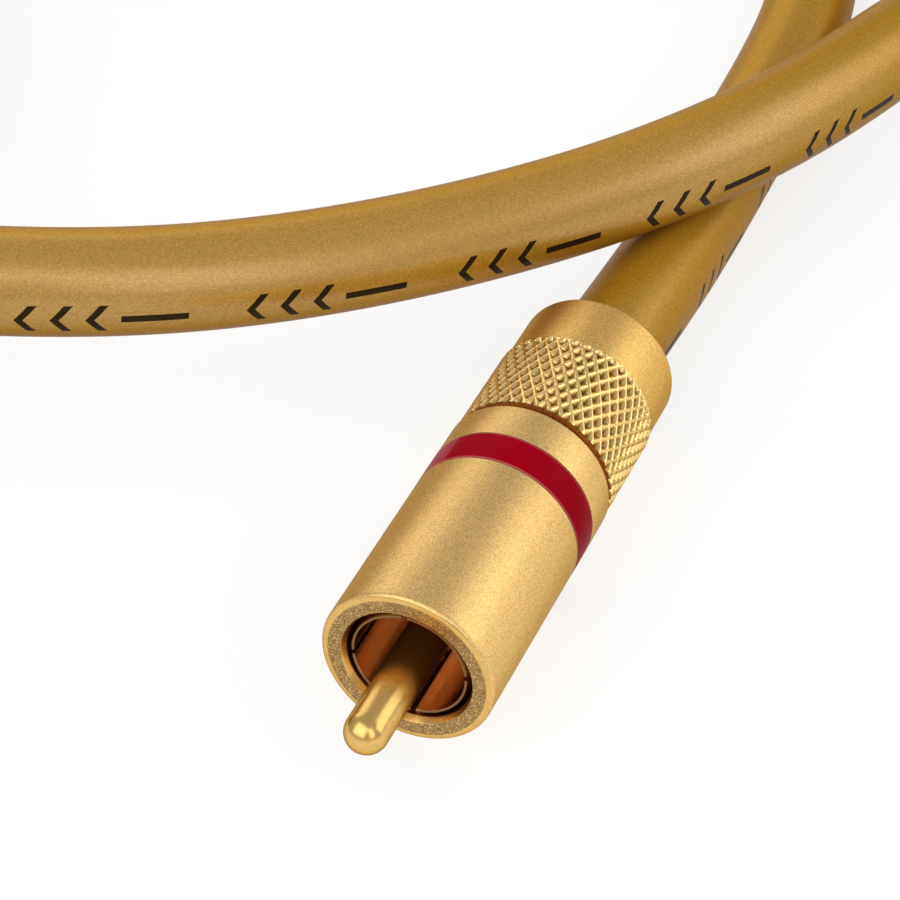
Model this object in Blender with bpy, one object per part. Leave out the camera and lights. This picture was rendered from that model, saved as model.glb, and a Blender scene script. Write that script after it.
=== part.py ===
"""Digital coaxial cable with a phono plug at each end, its free length put away in a tied coil.

Metres, +Z up. The near plug lies along Y on the surface z = 0, its pin towards -Y.
The origin is on that surface, below the middle of the near plug.
"""

import math

import bmesh
import bpy
from mathutils import Matrix, Vector

# Clearances
SEAT_GAP = 0.0003
FILM_GAP = 0.0001

# Cable
CABLE_DIAMETER = 0.0082
DIELECTRIC_RADIUS = 0.0024
DIELECTRIC_LENGTH = 0.0057
BRAID_THICKNESS = 0.0009
BRAID_LENGTH = 0.0047
CONDUCTOR_RADIUS = 0.0006

# Shell, measured from its front face towards the cable
SHELL_WALL = 0.0011
SHELL_LENGTH = 0.02225
FRONT_ROUND = 0.0005
MOUTH_DEPTH = 0.00045
MOUTH_FLARE = 0.0003
REAR_CHAMFER = 0.0002
BAND_WIDTH = 0.0029
BAND_INSET = 0.0035
BAND_THICKNESS = 0.0003

# Ground body and its split collet
COLLET_BORE = 0.00415
COLLET_WALL = 0.0004
COLLET_RECESS = 0.00045
COLLET_DEPTH = 0.01045
SLOT_COUNT = 4
SLOT_WIDTH = 0.0004
SLOT_LENGTH = 0.0066
SLOT_TURN = math.radians(4)
SHANK_REACH = 0.0046
JACKET_INSET = 0.0025

# Centre pin and insulator
PIN_RADIUS = 0.0016
PIN_REACH = 0.00815
STEM_RADIUS = 0.0011
INSULATOR_LENGTH = 0.0072
CUP_DEPTH = 0.0035
BARE_WIRE = 0.0012

# Collar
COLLAR_GROOVE = 0.0006
COLLAR_LENGTH = 0.0139
COLLAR_WALL = 0.0008
COLLAR_FILLET = 0.0008
LIP_THICKNESS = 0.0023
KNURL_LENGTH = 0.0084
KNURL_PROUD = 0.0002
KNURL_DEPTH = 0.0003
KNURLS_AROUND = 42
KNURLS_ALONG = 5
CLAMP_WALL = 0.0007
CLAMP_SLOT = 0.0008

# Coil and ties
COIL_CENTRE = Vector((-0.1120, 0.0250))
COIL_RADIUS = 0.0420
LAYERS_IN_RING = 2
LAYER_SLACK = 0.00015
COIL_ENTRY = math.radians(125)
COIL_EXIT = math.radians(275)
TIE_THICKNESS = 0.0008
TIE_WIDTH = 0.0100
TIE_SLACK = 0.0008
TIE_ANGLES = (math.radians(160), math.radians(340))

# Far plug: where the cable leaves its collar, and the way that the cable runs into it
FAR_COLLAR_END = Vector((0.0130, 0.0940))
FAR_HEADING = math.radians(92)

# Smoothness
TURNED_STEPS = 36
SMALL_STEPS = 20
TIP_STEPS = 4
FILLET_STEPS = 3
CORNER_STEPS = 3
COIL_STEPS = 60
MERGE = 1e-7
TUBE_SPACING = 2 * CABLE_DIAMETER

# Values worked out from the ones above
CABLE_RADIUS = CABLE_DIAMETER / 2
CABLE_HOLE = CABLE_RADIUS + SEAT_GAP
SHANK_RADIUS = CABLE_HOLE + CLAMP_WALL
COLLAR_BORE = SHANK_RADIUS + SEAT_GAP
COLLAR_RADIUS = COLLAR_BORE + COLLAR_WALL
KNURL_RADIUS = COLLAR_RADIUS + KNURL_PROUD
SHELL_RADIUS = COLLAR_BORE + SHELL_WALL
BRAID_BORE = DIELECTRIC_RADIUS + SEAT_GAP
BODY_BORE = BRAID_BORE + BRAID_THICKNESS + SEAT_GAP
AXIS_HEIGHT = SHELL_RADIUS
BAND_START = SHELL_LENGTH - BAND_INSET - BAND_WIDTH
COLLAR_START = SHELL_LENGTH + COLLAR_GROOVE
COLLAR_END = COLLAR_START + COLLAR_LENGTH
SHANK_END = COLLAR_START + SHANK_REACH
JACKET_END = SHANK_END + JACKET_INSET
CABLE_CORE_END = JACKET_END - SEAT_GAP
NEAR_FACE = (PIN_REACH - COLLAR_END) / 2
CUP_START = COLLET_DEPTH + INSULATOR_LENGTH + 2 * SEAT_GAP
CUP_END = CABLE_CORE_END - DIELECTRIC_LENGTH - BARE_WIRE
CUP_BORE = CONDUCTOR_RADIUS + SEAT_GAP
ON_FLOOR = CABLE_RADIUS
OVER_STRAND = ON_FLOOR + CABLE_DIAMETER + 0.0008
COIL_FLOOR = TIE_THICKNESS + SEAT_GAP + CABLE_RADIUS
LAYER_PITCH = CABLE_DIAMETER + LAYER_SLACK
RING_TOP = COIL_FLOOR + (LAYERS_IN_RING - 1) * LAYER_PITCH + CABLE_RADIUS
COIL_TOP = RING_TOP + SEAT_GAP + CABLE_RADIUS
LEAD_IN = math.sqrt((COIL_RADIUS + CABLE_DIAMETER + SEAT_GAP) ** 2 - COIL_RADIUS**2)


def between(low, high, share):
    """The value that lies this share of the way from low to high."""
    return low + (high - low) * share


def on_coil(angle, radius=COIL_RADIUS):
    """A point of the coil's centreline in plan, by its angle from +X about the coil's centre."""
    return COIL_CENTRE + radius * Vector((math.cos(angle), math.sin(angle)))


def lead_in(distance):
    """A point this far back along the straight run that meets the coil at its entry angle."""
    back = Vector((math.sin(COIL_ENTRY), -math.cos(COIL_ENTRY)))
    return on_coil(COIL_ENTRY) + distance * back


def into_far_plug(distance):
    """A point this far along the far plug's axis from the end of its collar, towards its pin."""
    return FAR_COLLAR_END + distance * Vector((math.cos(FAR_HEADING), math.sin(FAR_HEADING)))


# The cable's route as (x, y, height) points. Only the turns of the coil are worked out.
LEAVING_NEAR_PLUG = [
    (0.0, NEAR_FACE + JACKET_END, AXIS_HEIGHT),
    (0.0, NEAR_FACE + COLLAR_END, AXIS_HEIGHT),
]
NEAR_STRAND = [
    (0.0000, 0.0300, between(ON_FLOOR, AXIS_HEIGHT, 0.80)),
    (-0.0001, 0.0380, between(ON_FLOOR, AXIS_HEIGHT, 0.35)),
    (-0.0004, 0.0460, between(ON_FLOOR, AXIS_HEIGHT, 0.03)),
    (-0.0006, 0.0560, ON_FLOOR),
    (-0.0009, 0.0680, ON_FLOOR),
    (-0.0019, 0.0820, ON_FLOOR),
    (-0.0055, 0.0951, ON_FLOOR),
    (-0.0132, 0.1062, ON_FLOOR),
    (-0.0243, 0.1139, ON_FLOOR),
    (-0.0374, 0.1175, ON_FLOOR),
    (-0.0509, 0.1163, ON_FLOOR),
    (-0.0632, 0.1105, ON_FLOOR),
    (-0.0764, 0.1012, ON_FLOOR),
    (-0.0910, 0.0910, ON_FLOOR),
]
FAR_STRAND = [
    (-0.0905, -0.0147, between(COIL_TOP, OVER_STRAND, 0.06)),
    (-0.0732, -0.0109, between(COIL_TOP, OVER_STRAND, 0.20)),
    (-0.0562, -0.0054, between(COIL_TOP, OVER_STRAND, 0.38)),
    (-0.0398, 0.0018, between(COIL_TOP, OVER_STRAND, 0.57)),
    (-0.0335, 0.0055, between(COIL_TOP, OVER_STRAND, 0.66)),
    (-0.0272, 0.0101, between(COIL_TOP, OVER_STRAND, 0.75)),
    (-0.0212, 0.0155, between(COIL_TOP, OVER_STRAND, 0.83)),
    (-0.0153, 0.0216, between(COIL_TOP, OVER_STRAND, 0.90)),
    (-0.0096, 0.0284, between(COIL_TOP, OVER_STRAND, 0.96)),
    (-0.0038, 0.0360, OVER_STRAND),
    (0.0013, 0.0441, between(OVER_STRAND, AXIS_HEIGHT, 0.02)),
    (0.0039, 0.0498, between(OVER_STRAND, AXIS_HEIGHT, 0.09)),
    (0.0063, 0.0567, between(OVER_STRAND, AXIS_HEIGHT, 0.19)),
    (0.0085, 0.0649, between(OVER_STRAND, AXIS_HEIGHT, 0.32)),
    (0.0099, 0.0720, between(OVER_STRAND, AXIS_HEIGHT, 0.46)),
    (0.0117, 0.0810, between(OVER_STRAND, AXIS_HEIGHT, 0.76)),
    (0.0128, 0.0890, between(OVER_STRAND, AXIS_HEIGHT, 0.96)),
]


def material(name, colour, roughness, metallic):
    """A plain finish."""
    made = bpy.data.materials.new(name)
    made.use_nodes = True
    shader = made.node_tree.nodes["Principled BSDF"]
    shader.inputs["Base Color"].default_value = (*colour, 1.0)
    shader.inputs["Roughness"].default_value = roughness
    shader.inputs["Metallic"].default_value = metallic
    made.diffuse_color = (*colour, 1.0)
    return made


def add_object(name, data, finish, parent=None):
    """Puts a mesh or a curve into the scene under a name."""
    data.materials.append(finish)
    made = bpy.data.objects.new(name, data)
    bpy.context.scene.collection.objects.link(made)
    made.parent = parent
    return made


def finish_mesh(form, name):
    """Turns a bmesh into a mesh with its faces out, smooth except at real edges."""
    bmesh.ops.recalc_face_normals(form, faces=form.faces)
    mesh = bpy.data.meshes.new(name)
    form.to_mesh(mesh)
    form.free()
    mesh.shade_smooth()
    mesh.set_sharp_from_angle(angle=math.radians(32))
    return mesh


def turned(name, outline, finish, parent, steps=TURNED_STEPS):
    """A piece turned about local Y from its outline, a list of (along, radius).

    An outline that starts on the axis also ends there. Any other outline is closed.
    """
    form = bmesh.new()
    points = [form.verts.new((radius, along, 0.0)) for along, radius in outline]
    edges = [form.edges.new(pair) for pair in zip(points, points[1:])]
    if outline[0][1] > 0:
        edges.append(form.edges.new((points[-1], points[0])))
    bmesh.ops.spin(
        form,
        geom=points + edges,
        cent=(0.0, 0.0, 0.0),
        axis=(0.0, 1.0, 0.0),
        angle=math.tau,
        steps=steps,
        use_merge=True,
    )
    bmesh.ops.remove_doubles(form, verts=form.verts, dist=MERGE)
    return add_object(name, finish_mesh(form, name), finish, parent)


def sleeve(name, start, end, inner, outer, finish, parent, steps=SMALL_STEPS):
    """A plain tube between two places along the axis."""
    outline = [(start, inner), (start, outer), (end, outer), (end, inner)]
    return turned(name, outline, finish, parent, steps)


def slot_cutter(name, size, centre, turn, parent):
    """A box that cuts a slot. Its long side lies along the plug's axis."""
    form = bmesh.new()
    bmesh.ops.create_cube(form, size=1.0)
    bmesh.ops.scale(form, vec=size, verts=form.verts)
    bmesh.ops.translate(form, vec=centre, verts=form.verts)
    mesh = bpy.data.meshes.new(name)
    form.to_mesh(mesh)
    form.free()
    cutter = bpy.data.objects.new(name, mesh)
    bpy.context.scene.collection.objects.link(cutter)
    cutter.parent = parent
    cutter.rotation_euler = (0.0, -turn, 0.0)
    cutter.hide_render = True
    cutter.display_type = "WIRE"
    return cutter


def combine(piece, tool, operation):
    """Cuts a tool from a piece, or joins the two."""
    boolean = piece.modifiers.new(tool.name, "BOOLEAN")
    boolean.object = tool
    boolean.operation = operation
    boolean.solver = "EXACT"


def shell(name, finish, parent):
    """Front barrel: rounded rim, flared mouth, a stepped bore, and a shallow groove for the band."""
    bore = COLLET_BORE + COLLET_WALL + SEAT_GAP
    groove = SHELL_RADIUS - BAND_THICKNESS - FILM_GAP
    groove_start = BAND_START - FILM_GAP
    groove_end = BAND_START + BAND_WIDTH + FILM_GAP
    step = COLLET_DEPTH - SEAT_GAP
    outline = []
    for quarter in range(FILLET_STEPS + 1):
        angle = quarter / FILLET_STEPS * math.pi / 2
        along = FRONT_ROUND * (1 - math.sin(angle))
        outline.append((along, SHELL_RADIUS - FRONT_ROUND * (1 - math.cos(angle))))
    outline.reverse()
    outline += [
        (groove_start, SHELL_RADIUS),
        (groove_start, groove),
        (groove_end, groove),
        (groove_end, SHELL_RADIUS),
        (SHELL_LENGTH - REAR_CHAMFER, SHELL_RADIUS),
        (SHELL_LENGTH, SHELL_RADIUS - REAR_CHAMFER),
        (SHELL_LENGTH, COLLAR_BORE),
        (step, COLLAR_BORE),
        (step, bore),
        (MOUTH_DEPTH, bore),
        (0.0, bore + MOUTH_FLARE),
    ]
    return turned(name, outline, finish, parent)


def colour_band(name, finish, parent):
    """The printed film ring, flush with the shell."""
    inner = SHELL_RADIUS - BAND_THICKNESS
    return sleeve(
        name, BAND_START, BAND_START + BAND_WIDTH, inner, SHELL_RADIUS, finish, parent, TURNED_STEPS
    )


def ground_body(name, finish, parent):
    """One turned piece: a thin split collet in front, and a shank that the shell and the collar screw onto."""
    outline = [
        (COLLET_RECESS, COLLET_BORE),
        (COLLET_RECESS, COLLET_BORE + COLLET_WALL),
        (COLLET_DEPTH, COLLET_BORE + COLLET_WALL),
        (COLLET_DEPTH, SHANK_RADIUS),
        (SHANK_END, SHANK_RADIUS),
        (SHANK_END, BODY_BORE),
        (COLLET_DEPTH, BODY_BORE),
        (COLLET_DEPTH - SEAT_GAP, COLLET_BORE),
    ]
    body = turned(name, outline, finish, parent)
    slot_end = COLLET_RECESS + SLOT_LENGTH
    reach = 4 * COLLET_BORE
    for index in range(SLOT_COUNT // 2):
        turn = SLOT_TURN + index * math.tau / SLOT_COUNT
        size = (reach, 2 * slot_end, SLOT_WIDTH)
        cutter = slot_cutter(f"{name}_slot_{index}", size, (0.0, 0.0, 0.0), turn, parent)
        combine(body, cutter, "DIFFERENCE")
    return body


def centre_pin(name, finish, parent):
    """Signal pin: a round tip, a narrower stem through the insulator, and a solder cup."""
    tip_centre = PIN_RADIUS - PIN_REACH
    outline = []
    for step in range(TIP_STEPS + 1):
        angle = step / TIP_STEPS * math.pi / 2
        along = tip_centre - PIN_RADIUS * math.cos(angle)
        radius = PIN_RADIUS * math.sin(angle)
        outline.append((along, radius if step else 0.0))
    outline += [
        (COLLET_DEPTH, PIN_RADIUS),
        (COLLET_DEPTH, STEM_RADIUS),
        (CUP_START, STEM_RADIUS),
        (CUP_START, PIN_RADIUS),
        (CUP_END, PIN_RADIUS),
        (CUP_END, CUP_BORE),
        (CUP_END - CUP_DEPTH, CUP_BORE),
        (CUP_END - CUP_DEPTH, 0.0),
    ]
    return turned(name, outline, finish, parent, SMALL_STEPS)


def ring_of(form, along, radii):
    """One ring of points about local Y, with a radius for each."""
    count = len(radii)
    return [
        form.verts.new(
            (
                radius * math.cos(index * math.tau / count),
                along,
                radius * math.sin(index * math.tau / count),
            )
        )
        for index, radius in enumerate(radii)
    ]


def bridge(form, first, second, ridge_first=None):
    """Faces between two rings. On a knurl each cell is split along its ridge."""
    count = len(first)
    for index in range(count):
        after = (index + 1) % count
        corners = [first[index], first[after], second[after], second[index]]
        if ridge_first is None:
            form.faces.new(corners)
            continue
        turn = (index + ridge_first) % 2
        corners = corners[turn:] + corners[:turn]
        form.faces.new((corners[0], corners[1], corners[2]))
        form.faces.new((corners[0], corners[2], corners[3]))


def collar(name, finish, parent):
    """Rear collar: diamond knurl in front, a smooth rounded tail, and a lip round the cable."""
    count = 2 * KNURLS_AROUND
    form = bmesh.new()
    rows = 2 * KNURLS_ALONG
    rings = []
    for row in range(rows + 1):
        along = COLLAR_START + KNURL_LENGTH * row / rows
        radii = [KNURL_RADIUS - KNURL_DEPTH * ((index + row) % 2) for index in range(count)]
        rings.append(ring_of(form, along, radii))
    for row in range(rows):
        bridge(form, rings[row], rings[row + 1], ridge_first=row)
    fillet_start = COLLAR_END - COLLAR_FILLET
    tail = [(COLLAR_START + KNURL_LENGTH + KNURL_DEPTH, COLLAR_RADIUS)]
    for step in range(FILLET_STEPS + 1):
        angle = step / FILLET_STEPS * math.pi / 2
        along = fillet_start + COLLAR_FILLET * math.sin(angle)
        radius = COLLAR_RADIUS - COLLAR_FILLET * (1 - math.cos(angle))
        tail.append((along, radius))
    tail += [
        (COLLAR_END, CABLE_HOLE),
        (COLLAR_END - LIP_THICKNESS, CABLE_HOLE),
        (COLLAR_END - LIP_THICKNESS, COLLAR_BORE),
        (COLLAR_START, COLLAR_BORE),
    ]
    last = rings[-1]
    for along, radius in tail:
        ring = ring_of(form, along, [radius] * count)
        bridge(form, last, ring)
        last = ring
    bridge(form, last, rings[0])
    return add_object(name, finish_mesh(form, name), finish, parent)


def cable_clamp(name, finish, parent):
    """Split sleeve that the collar closes on the jacket."""
    start = SHANK_END + SEAT_GAP
    end = COLLAR_END - LIP_THICKNESS - SEAT_GAP
    clamp = sleeve(name, start, end, CABLE_HOLE, SHANK_RADIUS, finish, parent, TURNED_STEPS)
    size = (2 * SHANK_RADIUS, 2 * (end - start), CLAMP_SLOT)
    centre = (SHANK_RADIUS, (start + end) / 2, 0.0)
    cutter = slot_cutter(f"{name}_slot", size, centre, SLOT_TURN, parent)
    combine(clamp, cutter, "DIFFERENCE")
    return clamp


def cable_end(side, finishes, parent):
    """The stripped end of the cable: shield, inner insulation and centre wire."""
    end = CABLE_CORE_END
    sleeve(
        f"{side}_braid",
        end - BRAID_LENGTH,
        end,
        BRAID_BORE,
        BRAID_BORE + BRAID_THICKNESS,
        finishes["braid"],
        parent,
    )
    sleeve(
        f"{side}_dielectric",
        end - DIELECTRIC_LENGTH,
        end,
        CUP_BORE,
        DIELECTRIC_RADIUS,
        finishes["dielectric"],
        parent,
    )
    wire_start = CUP_END - CUP_DEPTH + SEAT_GAP
    wire = [
        (wire_start, 0.0),
        (wire_start, CONDUCTOR_RADIUS),
        (end, CONDUCTOR_RADIUS),
        (end, 0.0),
    ]
    turned(f"{side}_conductor", wire, finishes["conductor"], parent, SMALL_STEPS)


def plug(side, finishes, location, turn):
    """One phono plug, its pieces named for the side it is on."""
    frame = bpy.data.objects.new(f"{side}_plug", None)
    bpy.context.scene.collection.objects.link(frame)
    frame.location = location
    frame.rotation_euler = (0.0, 0.0, turn)
    shell(f"{side}_shell", finishes["blasted_gold"], frame)
    colour_band(f"{side}_colour_band", finishes["film"], frame)
    ground_body(f"{side}_ground_body", finishes["polished_gold"], frame)
    start = COLLET_DEPTH + SEAT_GAP
    sleeve(
        f"{side}_insulator",
        start,
        start + INSULATOR_LENGTH,
        STEM_RADIUS + SEAT_GAP,
        BODY_BORE - SEAT_GAP,
        finishes["insulator"],
        frame,
    )
    centre_pin(f"{side}_centre_pin", finishes["polished_gold"], frame)
    collar(f"{side}_collar", finishes["blasted_gold"], frame)
    cable_clamp(f"{side}_cable_clamp", finishes["polished_gold"], frame)
    cable_end(side, finishes, frame)


def smooth(points, fine=12):
    """Points of one smooth curve through the route's own points."""
    points = [Vector(point) for point in points]
    ends = [2 * points[0] - points[1], *points, 2 * points[-1] - points[-2]]
    curve = [points[0]]
    for before, start, end, after in zip(ends, ends[1:], ends[2:], ends[3:]):
        knots = [0.0]
        for first, second in ((before, start), (start, end), (end, after)):
            knots.append(knots[-1] + math.sqrt((second - first).length))
        for step in range(1, fine + 1):
            place = between(knots[1], knots[2], step / fine)
            level = [before, start, end, after]
            for width in (1, 2, 3):
                level = [
                    level[i].lerp(level[i + 1], part_of(knots, i, width, place))
                    for i in range(len(level) - 1)
                ]
            curve.append(level[0])
    return curve


def part_of(knots, index, width, place):
    """Where place lies between two knots, in Barry and Goldman's form of the Catmull-Rom curve."""
    if width == 1:
        low, high = knots[index], knots[index + 1]
    elif width == 2:
        low, high = knots[index], knots[index + 2]
    else:
        low, high = knots[1], knots[2]
    return (place - low) / (high - low)


def spaced(curve, spacing):
    """The curve at even steps of about this length, with both ends kept."""
    lengths = [0.0]
    for first, second in zip(curve, curve[1:]):
        lengths.append(lengths[-1] + (second - first).length)
    count = max(1, round(lengths[-1] / spacing))
    places = [lengths[-1] * index / count for index in range(count + 1)]
    found = []
    segment = 0
    for place in places:
        while segment < len(curve) - 2 and lengths[segment + 1] < place:
            segment += 1
        share = (place - lengths[segment]) / (lengths[segment + 1] - lengths[segment])
        found.append(curve[segment].lerp(curve[segment + 1], min(share, 1.0)))
    return found


def tube(name, points, finish):
    """A stretch of cable along a chain of points."""
    curve = bpy.data.curves.new(name, "CURVE")
    curve.dimensions = "3D"
    curve.bevel_depth = CABLE_RADIUS
    curve.bevel_resolution = 3
    curve.use_fill_caps = True
    spline = curve.splines.new("POLY")
    spline.points.add(len(points) - 1)
    for target, point in zip(spline.points, points):
        target.co = (*point, 1.0)
    return add_object(name, curve, finish)


def near_tube(finish):
    """From inside the near plug to the coil."""
    end = lead_in(LEAD_IN + SEAT_GAP)
    route = LEAVING_NEAR_PLUG[1:] + NEAR_STRAND + [(*end, COIL_FLOOR)]
    points = spaced(smooth(route), TUBE_SPACING)
    tube("cable_from_near_plug", [Vector(LEAVING_NEAR_PLUG[0]), *points], finish)


def far_tube(finish):
    """From the top of the coil, over the near strand, into the far plug."""
    count = round((COIL_EXIT - COIL_ENTRY) * COIL_RADIUS / TUBE_SPACING)
    on_top = [
        (*on_coil(between(COIL_ENTRY, COIL_EXIT, index / count)), COIL_TOP) for index in range(count + 1)
    ]
    route = on_top + FAR_STRAND + [(*into_far_plug(0.0), AXIS_HEIGHT)]
    points = spaced(smooth(route), TUBE_SPACING)
    points.append(Vector((*into_far_plug(COLLAR_END - JACKET_END), AXIS_HEIGHT)))
    tube("cable_to_far_plug", points, finish)


def coil(finish):
    """The turns of the coil that lie on each other, as the solid ring they fill, with the run that joins it."""
    form = bmesh.new()
    points = []
    half = 5
    for centre, start in ((COIL_FLOOR, math.pi), (RING_TOP - CABLE_RADIUS, 0.0)):
        for step in range(half + 1):
            angle = start + step / half * math.pi
            radius = COIL_RADIUS + CABLE_RADIUS * math.cos(angle)
            points.append(form.verts.new((radius, 0.0, centre + CABLE_RADIUS * math.sin(angle))))
    edges = [form.edges.new(pair) for pair in zip(points, points[1:] + points[:1])]
    bmesh.ops.spin(
        form,
        geom=points + edges,
        cent=(0.0, 0.0, 0.0),
        axis=(0.0, 0.0, 1.0),
        angle=math.tau,
        steps=COIL_STEPS,
        use_merge=True,
    )
    bmesh.ops.remove_doubles(form, verts=form.verts, dist=MERGE)
    ring = add_object("cable_coil", finish_mesh(form, "cable_coil"), finish)
    ring.location = (*COIL_CENTRE, 0.0)
    run = bmesh.new()
    bmesh.ops.create_cone(
        run, cap_ends=True, segments=12, radius1=CABLE_RADIUS, radius2=CABLE_RADIUS, depth=LEAD_IN
    )
    mesh = bpy.data.meshes.new("cable_coil_run")
    run.to_mesh(mesh)
    run.free()
    joined = bpy.data.objects.new("cable_coil_run", mesh)
    bpy.context.scene.collection.objects.link(joined)
    joined.location = (*lead_in(LEAD_IN / 2), COIL_FLOOR)
    joined.rotation_euler = (math.pi / 2, 0.0, COIL_ENTRY)
    joined.hide_render = True
    joined.display_type = "WIRE"
    combine(ring, joined, "UNION")


def rounded_loop(low, high, radius):
    """The corners of a rounded rectangle, as points in plan order."""
    points = []
    for quarter, (across, up) in enumerate(((1, 1), (0, 1), (0, 0), (1, 0))):
        centre_across = (high[0] - radius) if across else (low[0] + radius)
        centre_up = (high[1] - radius) if up else (low[1] + radius)
        for step in range(CORNER_STEPS + 1):
            angle = (quarter + step / CORNER_STEPS) * math.pi / 2
            points.append((centre_across + radius * math.cos(angle), centre_up + radius * math.sin(angle)))
    return points


def tie(name, angle, bundle_top, finish):
    """A strap round the coil's bundle of turns."""
    inner_face = math.sqrt((COIL_RADIUS - CABLE_RADIUS) ** 2 - (TIE_WIDTH / 2) ** 2)
    low = (inner_face - TIE_SLACK, TIE_THICKNESS)
    high = (COIL_RADIUS + CABLE_RADIUS + SEAT_GAP, bundle_top + SEAT_GAP)
    wall = TIE_THICKNESS
    inside = rounded_loop(low, high, CABLE_RADIUS / 4)
    outside = rounded_loop(
        (low[0] - wall, low[1] - wall), (high[0] + wall, high[1] + wall), CABLE_RADIUS / 4 + wall
    )
    form = bmesh.new()
    loops = []
    for points, side in ((inside, -1), (outside, -1), (outside, 1), (inside, 1)):
        loops.append([form.verts.new((across, side * TIE_WIDTH / 2, up)) for across, up in points])
    for first, second in zip(loops, loops[1:] + loops[:1]):
        bridge(form, first, second)
    made = add_object(name, finish_mesh(form, name), finish)
    made.location = (*COIL_CENTRE, 0.0)
    made.rotation_euler = (0.0, 0.0, angle)


def clear_scene():
    """Removes what the file starts with."""
    for old in list(bpy.data.objects):
        bpy.data.objects.remove(old, do_unlink=True)


def build():
    """Models the whole cable."""
    clear_scene()
    finishes = {
        "blasted_gold": material("blasted_gold", (0.58, 0.40, 0.14), 0.38, 1.0),
        "polished_gold": material("polished_gold", (0.72, 0.48, 0.14), 0.15, 1.0),
        "film": material("film", (0.30, 0.003, 0.015), 0.30, 0.0),
        "insulator": material("insulator", (0.80, 0.78, 0.72), 0.55, 0.0),
        "braid": material("braid", (0.70, 0.70, 0.68), 0.40, 1.0),
        "dielectric": material("dielectric", (0.85, 0.84, 0.80), 0.60, 0.0),
        "conductor": material("conductor", (0.75, 0.74, 0.72), 0.25, 1.0),
        "jacket": material("jacket", (0.37, 0.19, 0.04), 0.42, 0.3),
        "tie": material("tie", (0.02, 0.02, 0.02), 0.85, 0.0),
    }
    plug("near", finishes, (0.0, NEAR_FACE, AXIS_HEIGHT), 0.0)
    far_face = into_far_plug(COLLAR_END)
    plug("far", finishes, (*far_face, AXIS_HEIGHT), FAR_HEADING + math.pi / 2)
    near_tube(finishes["jacket"])
    coil(finishes["jacket"])
    far_tube(finishes["jacket"])
    for index, (angle, top) in enumerate(zip(TIE_ANGLES, (COIL_TOP + CABLE_RADIUS, RING_TOP)), 1):
        tie(f"tie_{index}", angle, top, finishes["tie"])


build()
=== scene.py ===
# %% [markdown]
# # A digital coaxial cable, dressed for its portrait
#
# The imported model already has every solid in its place. This lesson puts the looks on it: finely turned
# metal, a pressed knurl, a cable jacket full of metal flakes, and the light that makes gold read as gold.
# Everything is in metres, with +Z up, in the same frame as the solids.

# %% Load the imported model
import math

import bmesh
import bpy
import numpy as np
from mathutils import Matrix, Vector


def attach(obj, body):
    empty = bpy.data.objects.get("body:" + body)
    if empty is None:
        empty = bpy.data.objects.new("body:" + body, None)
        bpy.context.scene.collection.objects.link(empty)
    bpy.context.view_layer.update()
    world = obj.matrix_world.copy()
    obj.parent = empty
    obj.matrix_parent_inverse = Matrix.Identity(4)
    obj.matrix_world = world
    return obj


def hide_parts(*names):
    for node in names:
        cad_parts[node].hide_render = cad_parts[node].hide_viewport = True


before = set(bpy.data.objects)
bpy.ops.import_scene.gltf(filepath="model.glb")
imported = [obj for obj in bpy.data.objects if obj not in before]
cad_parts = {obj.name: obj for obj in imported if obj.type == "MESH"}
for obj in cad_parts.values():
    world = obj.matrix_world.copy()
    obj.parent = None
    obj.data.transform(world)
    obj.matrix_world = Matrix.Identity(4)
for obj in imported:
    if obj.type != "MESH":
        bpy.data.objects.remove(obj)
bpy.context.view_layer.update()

print("solids in the packed model:", len(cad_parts))

# %% [markdown]
# ## The camera
#
# The photograph was matched by the plug's own circles: a cylinder seen from one side gives the camera's
# height and turn, and the thickness of the pin gives the scale. A long lens of 120 mm on a 36 mm frame keeps
# the plug's sides nearly parallel, as they are in a product photograph.

# %% Place the camera
CAMERA_PLACE = Vector((0.061163, -0.149707, 0.150433))
CAMERA_LOOK = Vector((-0.301456, 0.705244, -0.641681))

camera_data = bpy.data.cameras.new("portrait_camera")
camera_data.sensor_width = 36.0
camera_data.lens = 120.0
camera_data.clip_start = 0.01
camera_data.clip_end = 20.0
camera = bpy.data.objects.new("portrait_camera", camera_data)
bpy.context.scene.collection.objects.link(camera)
camera.location = CAMERA_PLACE
camera.rotation_euler = CAMERA_LOOK.to_track_quat("-Z", "Y").to_euler()
bpy.context.scene.camera = camera
print("camera to the plug's middle: %.3f m" % (CAMERA_PLACE - Vector((0, 0, 0.0065))).length)

# %% [markdown]
# ## The sizes that the dressed pieces share with the solids
#
# A dressed piece stands where its solid stands, so both are drawn from the same few sizes. Along the plug,
# every place is measured from the shell's front face towards the cable.

# %% Sizes of the plug and the cable
CABLE_RADIUS = 0.0041
CABLE_DIAMETER = 2 * CABLE_RADIUS
SHELL_RADIUS = 0.0065
SHELL_LENGTH = 0.02225
BAND_START = 0.01585
BAND_END = 0.01875
COLLAR_START = 0.02285
COLLAR_END = 0.03675
COLLAR_RADIUS = 0.0062
KNURL_RADIUS = 0.0064
KNURL_DEPTH = 0.00040
KNURL_END = 0.03125
SHANK_RADIUS = 0.0051
SHANK_END = 0.02745
JACKET_END = 0.02995
COLLET_BORE = 0.00415
COLLET_OUTER = 0.00455
COLLET_FRONT = 0.00045
COLLET_DEPTH = 0.01045
BODY_BORE = 0.0039
PIN_RADIUS = 0.0016
PIN_REACH = 0.00815
NEAR_FACE = (PIN_REACH - COLLAR_END) / 2
AXIS_HEIGHT = SHELL_RADIUS

FAR_COLLAR_END = Vector((0.0130, 0.0940))
FAR_HEADING = math.radians(92)


def into_far_plug(distance):
    """A point this far along the far plug's axis, from the end of its collar towards its pin."""
    return FAR_COLLAR_END + distance * Vector((math.cos(FAR_HEADING), math.sin(FAR_HEADING)))


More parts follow.
